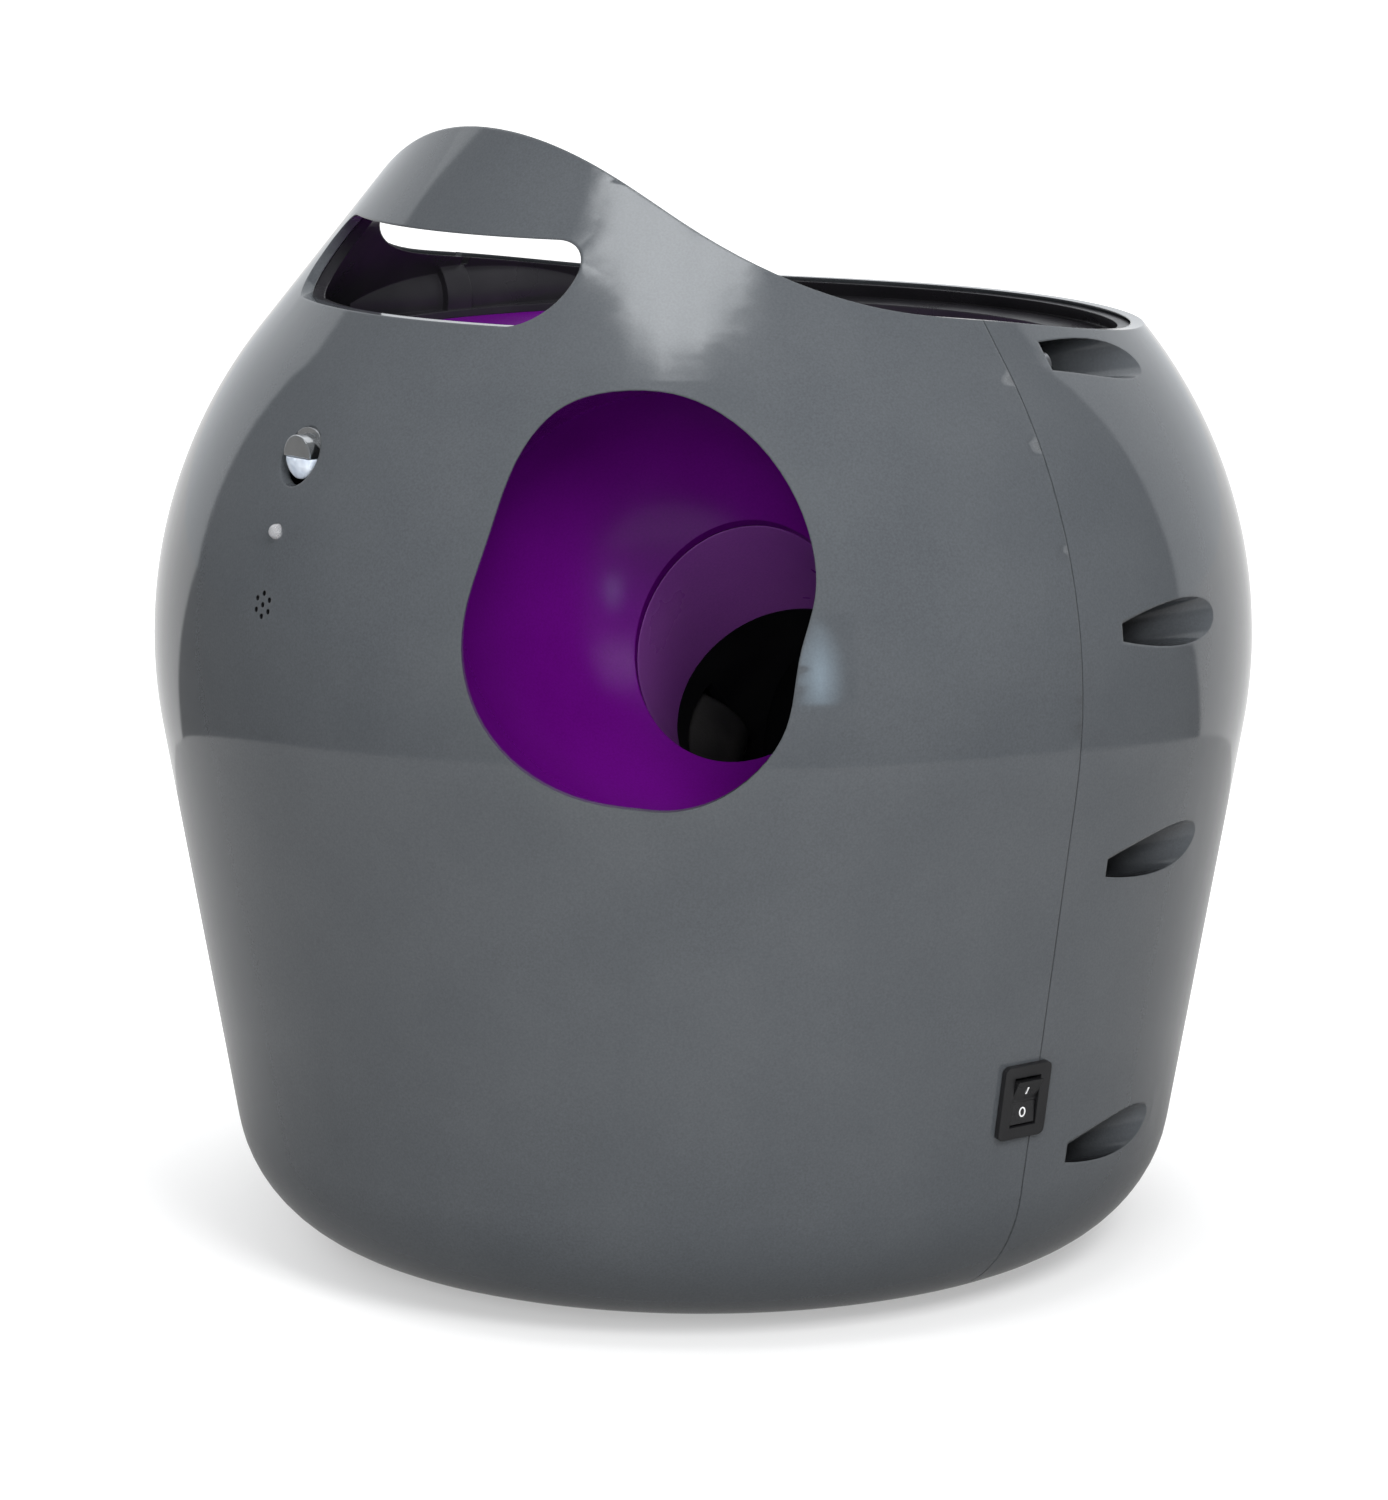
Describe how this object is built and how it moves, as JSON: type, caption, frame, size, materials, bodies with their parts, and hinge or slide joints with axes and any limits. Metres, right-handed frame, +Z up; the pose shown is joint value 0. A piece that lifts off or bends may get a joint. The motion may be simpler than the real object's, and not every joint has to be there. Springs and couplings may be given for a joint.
{
  "type": "automatic dog ball launcher",
  "caption": "Round ball launcher with a top hopper and carrying handle, a motion sensor, a bowl-shaped launch port, and launch wheels, feed gate and pusher inside.",
  "frame": {"origin": "on the floor under the middle of the round body", "axes": "+Z up, -Y towards the front with the handle and motion sensor, +X to the side with the launch port and power switch"},
  "size_m": [0.3458, 0.3458, 0.3578],
  "materials": {
    "housing_shell": "glossy warm grey moulding",
    "rim_liner": "satin black moulding",
    "purple_moulding": "glossy deep purple moulding",
    "barrel_black": "satin black moulding",
    "wheel_tyre": "soft ribbed rubber",
    "wheel_hub": "light grey moulding",
    "motor_steel": "drawn steel can",
    "screw_steel": "zinc plated steel",
    "foot_rubber": "clear soft rubber",
    "chassis_plastic": "textured black moulding",
    "door_plastic": "textured grey moulding",
    "cell_wrap": "plain shrink wrapped cell",
    "contact_metal": "plated spring contact",
    "board_green": "coated circuit board",
    "component_black": "moulded component bodies",
    "speaker_black": "pressed black speaker frame",
    "hood_chrome": "bright plating",
    "bezel_plastic": "glossy dark moulding",
    "lens_milky": "milky lens",
    "lamp_clear": "clear dome",
    "switch_black": "satin black moulding",
    "rocker_black": "glossy black rocker with white on and off marks",
    "dial_plastic": "ribbed purple knob",
    "servo_plastic": "translucent blue servo case",
    "sensor_black": "small black sensor heads",
    "inlet_black": "black panel socket",
    "pad_rubber": "soft black pad"
  },
  "bodies": {
    "housing": {"ball_sensor": "sensor_black", "battery_box": "chassis_plastic", "battery_cells": "cell_wrap", "battery_contacts": "contact_metal", "battery_door": "door_plastic", "battery_door_screws": "screw_steel", "board_components": "component_black", "board_screws": "screw_steel", "board_standoffs": "chassis_plastic", "breech_cap": "barrel_black", "chassis_plate": "chassis_plastic", "chassis_screws": "screw_steel", "control_board": "board_green", "dial_potentiometer": "motor_steel", "feed_tube": "barrel_black", "front_barrel_post": "chassis_plastic", "front_shell": "housing_shell", "gate_servo": "servo_plastic", "hopper_basin": "purple_moulding", "hopper_rim": "rim_liner", "indicator_lamp": "lamp_clear", "inlet_nut": "screw_steel", "launch_barrel": "barrel_black", "launch_bay": "purple_moulding", "left_motor": "motor_steel", "muzzle_sleeve": "purple_moulding", "power_inlet": "inlet_black", "pusher_actuator": "motor_steel", "rear_barrel_post": "chassis_plastic", "rear_shell": "housing_shell", "right_motor": "motor_steel", "rubber_feet": "foot_rubber", "sensor_bezel": "bezel_plastic", "sensor_board": "board_green", "sensor_hood": "hood_chrome", "sensor_lens": "lens_milky", "shell_screws": "screw_steel", "speaker": "speaker_black", "switch_frame": "switch_black", "wheel_cradle": "chassis_plastic"},
    "left_wheel": {"left_wheel_tyre": "wheel_tyre", "left_wheel_hub": "wheel_hub", "left_motor_shaft": "screw_steel"},
    "right_wheel": {"right_wheel_tyre": "wheel_tyre", "right_wheel_hub": "wheel_hub", "right_motor_shaft": "screw_steel"},
    "pusher": {"pusher": "pad_rubber"},
    "gate": {"gate_paddle": "purple_moulding"},
    "rocker": {"switch_rocker": "rocker_black"},
    "dial": {"distance_dial": "dial_plastic"}
  },
  "joints": [
    {"name": "left_wheel_spin", "type": "hinge", "parent": "housing", "child": "left_wheel", "pos_m": [0.00593, -0.0223, 0.16092], "axis": [-0.2732, 0.5362, 0.7986], "continuous": true},
    {"name": "right_wheel_spin", "type": "hinge", "parent": "housing", "child": "right_wheel", "pos_m": [0.10038, 0.02582, 0.16092], "axis": [-0.2732, 0.5362, 0.7986], "continuous": true},
    {"name": "pusher_slide", "type": "slide", "parent": "housing", "child": "pusher", "axis": [0.3626, -0.7116, 0.6018], "range_m": [0, 0.035]},
    {"name": "gate_swing", "type": "hinge", "parent": "housing", "child": "gate", "pos_m": [0.03067, 0.08788, 0.20579], "axis": [1, 0, 0], "range_deg": [0, 80]},
    {"name": "rocker_tilt", "type": "hinge", "parent": "housing", "child": "rocker", "pos_m": [0.15413, -0.00538, 0.073], "axis": [0.0349, 0.9994, 0], "range_deg": [-15, 0]},
    {"name": "dial_turn", "type": "hinge", "parent": "housing", "child": "dial", "pos_m": [0, 0.163, 0.15], "axis": [0, 1, 0], "range_deg": [-135, 135]}
  ],
  "couplings": [
    {"joint": "right_wheel_spin", "follows": "left_wheel_spin", "ratio": -1}
  ]
}
